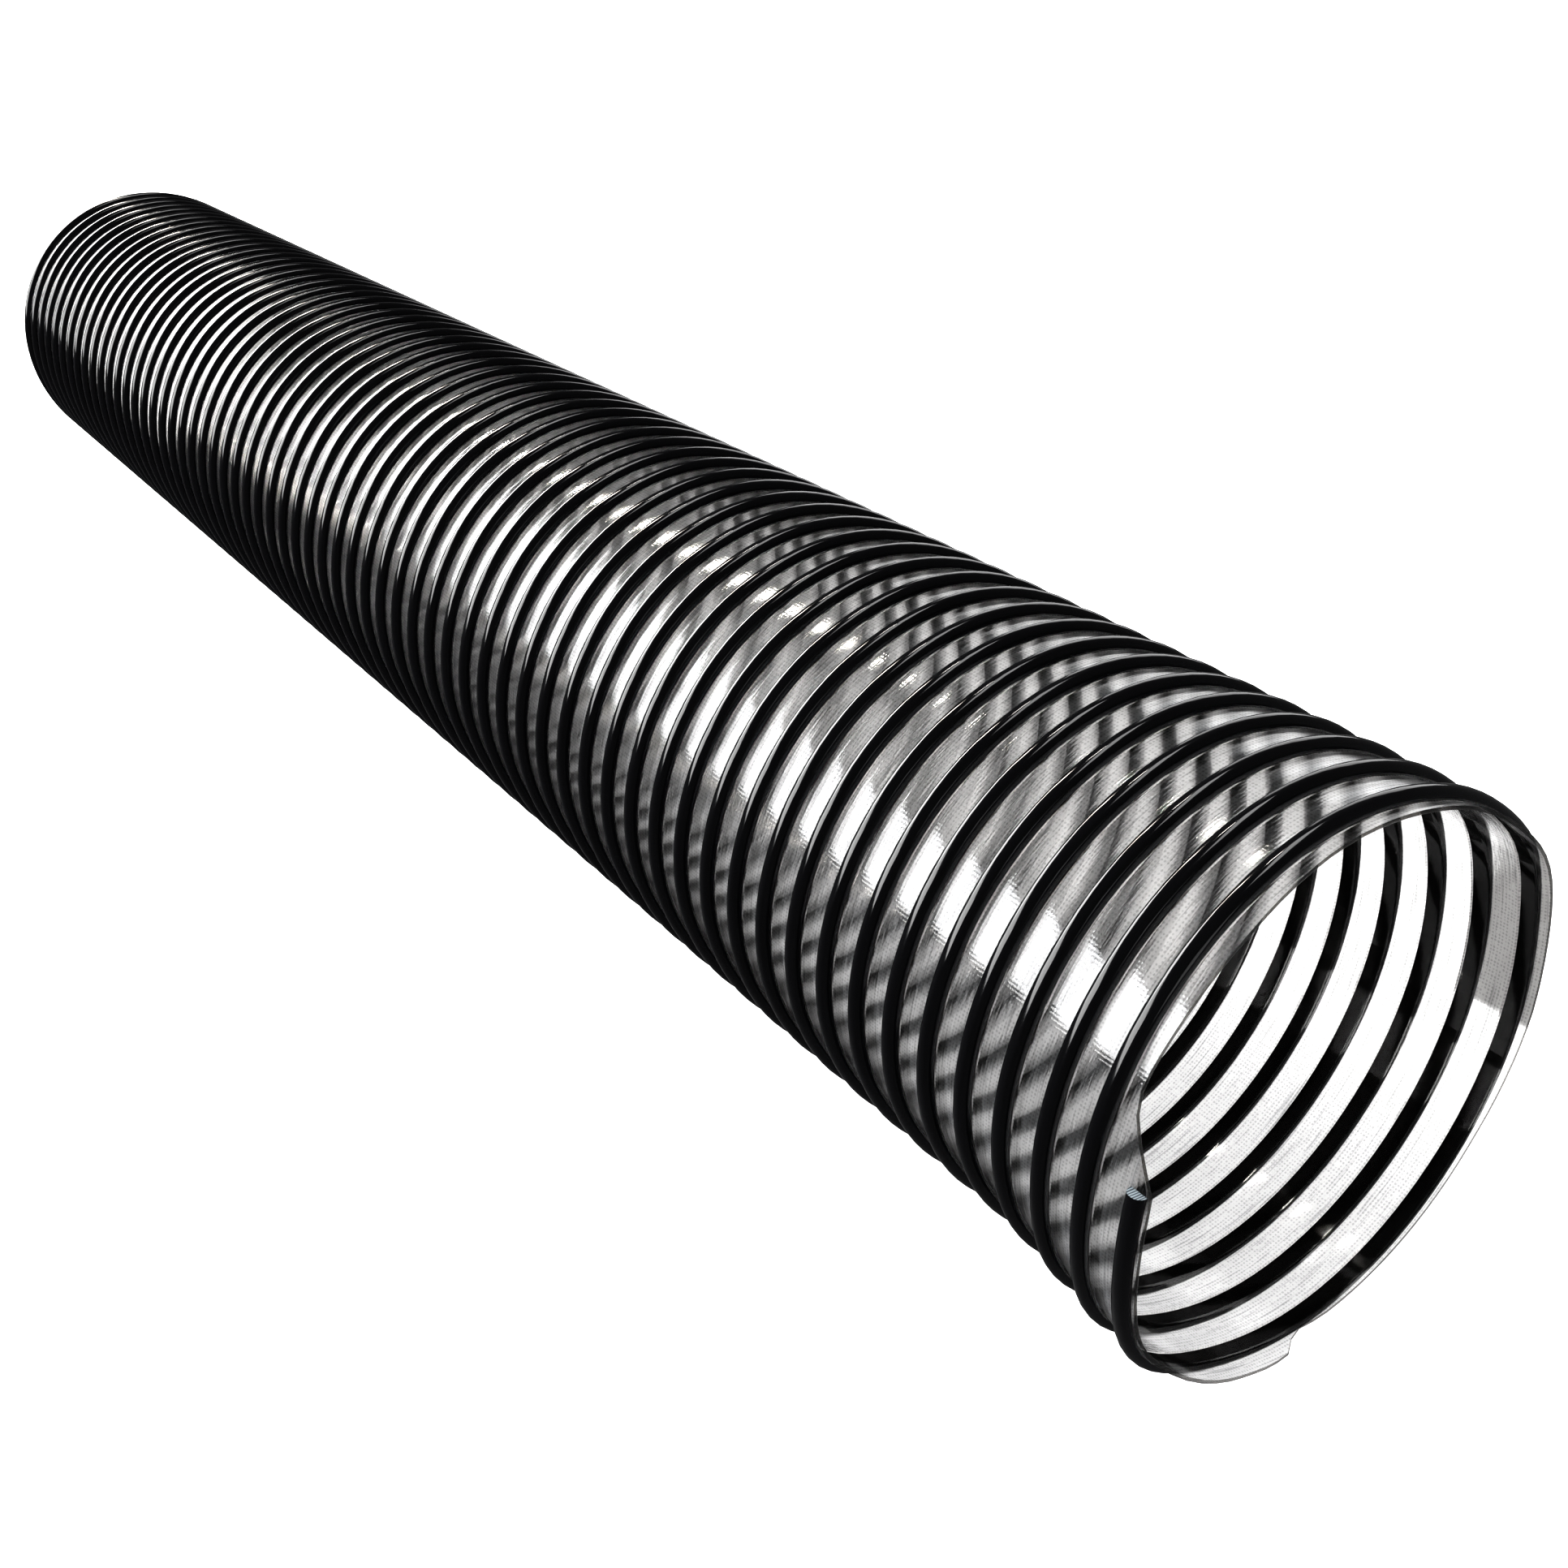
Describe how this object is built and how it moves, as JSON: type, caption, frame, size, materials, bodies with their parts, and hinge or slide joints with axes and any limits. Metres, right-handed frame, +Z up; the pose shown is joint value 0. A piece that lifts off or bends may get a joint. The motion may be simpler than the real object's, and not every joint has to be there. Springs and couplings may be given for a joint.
{
  "type": "flexible air duct",
  "caption": "Straight length of clear flexible duct with a black half-round helical rib, open at both ends, bending sideways along its whole length.",
  "frame": {"origin": "centre of the near mouth, on the duct's axis in the plane of its cut edge", "axes": "+X along the duct from the near mouth to the far mouth, +Z up with the duct lying on its side"},
  "size_m": [0.9216, 0.1569, 0.1573],
  "materials": {
    "film": "clear soft PVC film, glossy, slightly hazy",
    "rib": "black rigid PVC, glossy"
  },
  "bodies": {
    "section_01": {"film_wall_01": "film", "rib_coil_01": "rib", "flex_band_01": "film"},
    "section_02": {"film_wall_02": "film", "rib_coil_02": "rib", "flex_band_02": "film"},
    "section_03": {"film_wall_03": "film", "rib_coil_03": "rib", "flex_band_03": "film"},
    "section_04": {"film_wall_04": "film", "rib_coil_04": "rib", "flex_band_04": "film"},
    "section_05": {"film_wall_05": "film", "rib_coil_05": "rib", "flex_band_05": "film"},
    "section_06": {"film_wall_06": "film", "rib_coil_06": "rib", "flex_band_06": "film"},
    "section_07": {"film_wall_07": "film", "rib_coil_07": "rib", "flex_band_07": "film"},
    "section_08": {"film_wall_08": "film", "rib_coil_08": "rib", "flex_band_08": "film"},
    "section_09": {"film_wall_09": "film", "rib_coil_09": "rib", "flex_band_09": "film"},
    "section_10": {"film_wall_10": "film", "rib_coil_10": "rib", "flex_band_10": "film"},
    "section_11": {"film_wall_11": "film", "rib_coil_11": "rib", "flex_band_11": "film"},
    "section_12": {"film_wall_12": "film", "rib_coil_12": "rib", "flex_band_12": "film"},
    "section_13": {"film_wall_13": "film", "rib_coil_13": "rib", "flex_band_13": "film"},
    "section_14": {"film_wall_14": "film", "rib_coil_14": "rib", "flex_band_14": "film"},
    "section_15": {"film_wall_15": "film", "rib_coil_15": "rib", "flex_band_15": "film"},
    "section_16": {"film_wall_16": "film", "rib_coil_16": "rib"}
  },
  "joints": [
    {"name": "bend_01", "type": "hinge", "parent": "section_01", "child": "section_02", "pos_m": [0.05928, 0, 0], "axis": [0, 0, 1], "range_deg": [-6, 6], "stiffness_Nm_per_rad": 12, "deforming": ["flex_band_01"]},
    {"name": "bend_02", "type": "hinge", "parent": "section_02", "child": "section_03", "pos_m": [0.11688, 0, 0], "axis": [0, 0, 1], "range_deg": [-6, 6], "stiffness_Nm_per_rad": 12, "deforming": ["flex_band_02"]},
    {"name": "bend_03", "type": "hinge", "parent": "section_03", "child": "section_04", "pos_m": [0.17448, 0, 0], "axis": [0, 0, 1], "range_deg": [-6, 6], "stiffness_Nm_per_rad": 12, "deforming": ["flex_band_03"]},
    {"name": "bend_04", "type": "hinge", "parent": "section_04", "child": "section_05", "pos_m": [0.23208, 0, 0], "axis": [0, 0, 1], "range_deg": [-6, 6], "stiffness_Nm_per_rad": 12, "deforming": ["flex_band_04"]},
    {"name": "bend_05", "type": "hinge", "parent": "section_05", "child": "section_06", "pos_m": [0.28968, 0, 0], "axis": [0, 0, 1], "range_deg": [-6, 6], "stiffness_Nm_per_rad": 12, "deforming": ["flex_band_05"]},
    {"name": "bend_06", "type": "hinge", "parent": "section_06", "child": "section_07", "pos_m": [0.34728, 0, 0], "axis": [0, 0, 1], "range_deg": [-6, 6], "stiffness_Nm_per_rad": 12, "deforming": ["flex_band_06"]},
    {"name": "bend_07", "type": "hinge", "parent": "section_07", "child": "section_08", "pos_m": [0.40488, 0, 0], "axis": [0, 0, 1], "range_deg": [-6, 6], "stiffness_Nm_per_rad": 12, "deforming": ["flex_band_07"]},
    {"name": "bend_08", "type": "hinge", "parent": "section_08", "child": "section_09", "pos_m": [0.46248, 0, 0], "axis": [0, 0, 1], "range_deg": [-6, 6], "stiffness_Nm_per_rad": 12, "deforming": ["flex_band_08"]},
    {"name": "bend_09", "type": "hinge", "parent": "section_09", "child": "section_10", "pos_m": [0.52008, 0, 0], "axis": [0, 0, 1], "range_deg": [-6, 6], "stiffness_Nm_per_rad": 12, "deforming": ["flex_band_09"]},
    {"name": "bend_10", "type": "hinge", "parent": "section_10", "child": "section_11", "pos_m": [0.57768, 0, 0], "axis": [0, 0, 1], "range_deg": [-6, 6], "stiffness_Nm_per_rad": 12, "deforming": ["flex_band_10"]},
    {"name": "bend_11", "type": "hinge", "parent": "section_11", "child": "section_12", "pos_m": [0.63528, 0, 0], "axis": [0, 0, 1], "range_deg": [-6, 6], "stiffness_Nm_per_rad": 12, "deforming": ["flex_band_11"]},
    {"name": "bend_12", "type": "hinge", "parent": "section_12", "child": "section_13", "pos_m": [0.69288, 0, 0], "axis": [0, 0, 1], "range_deg": [-6, 6], "stiffness_Nm_per_rad": 12, "deforming": ["flex_band_12"]},
    {"name": "bend_13", "type": "hinge", "parent": "section_13", "child": "section_14", "pos_m": [0.75048, 0, 0], "axis": [0, 0, 1], "range_deg": [-6, 6], "stiffness_Nm_per_rad": 12, "deforming": ["flex_band_13"]},
    {"name": "bend_14", "type": "hinge", "parent": "section_14", "child": "section_15", "pos_m": [0.80808, 0, 0], "axis": [0, 0, 1], "range_deg": [-6, 6], "stiffness_Nm_per_rad": 12, "deforming": ["flex_band_14"]},
    {"name": "bend_15", "type": "hinge", "parent": "section_15", "child": "section_16", "pos_m": [0.86568, 0, 0], "axis": [0, 0, 1], "range_deg": [-6, 6], "stiffness_Nm_per_rad": 12, "deforming": ["flex_band_15"]}
  ]
}
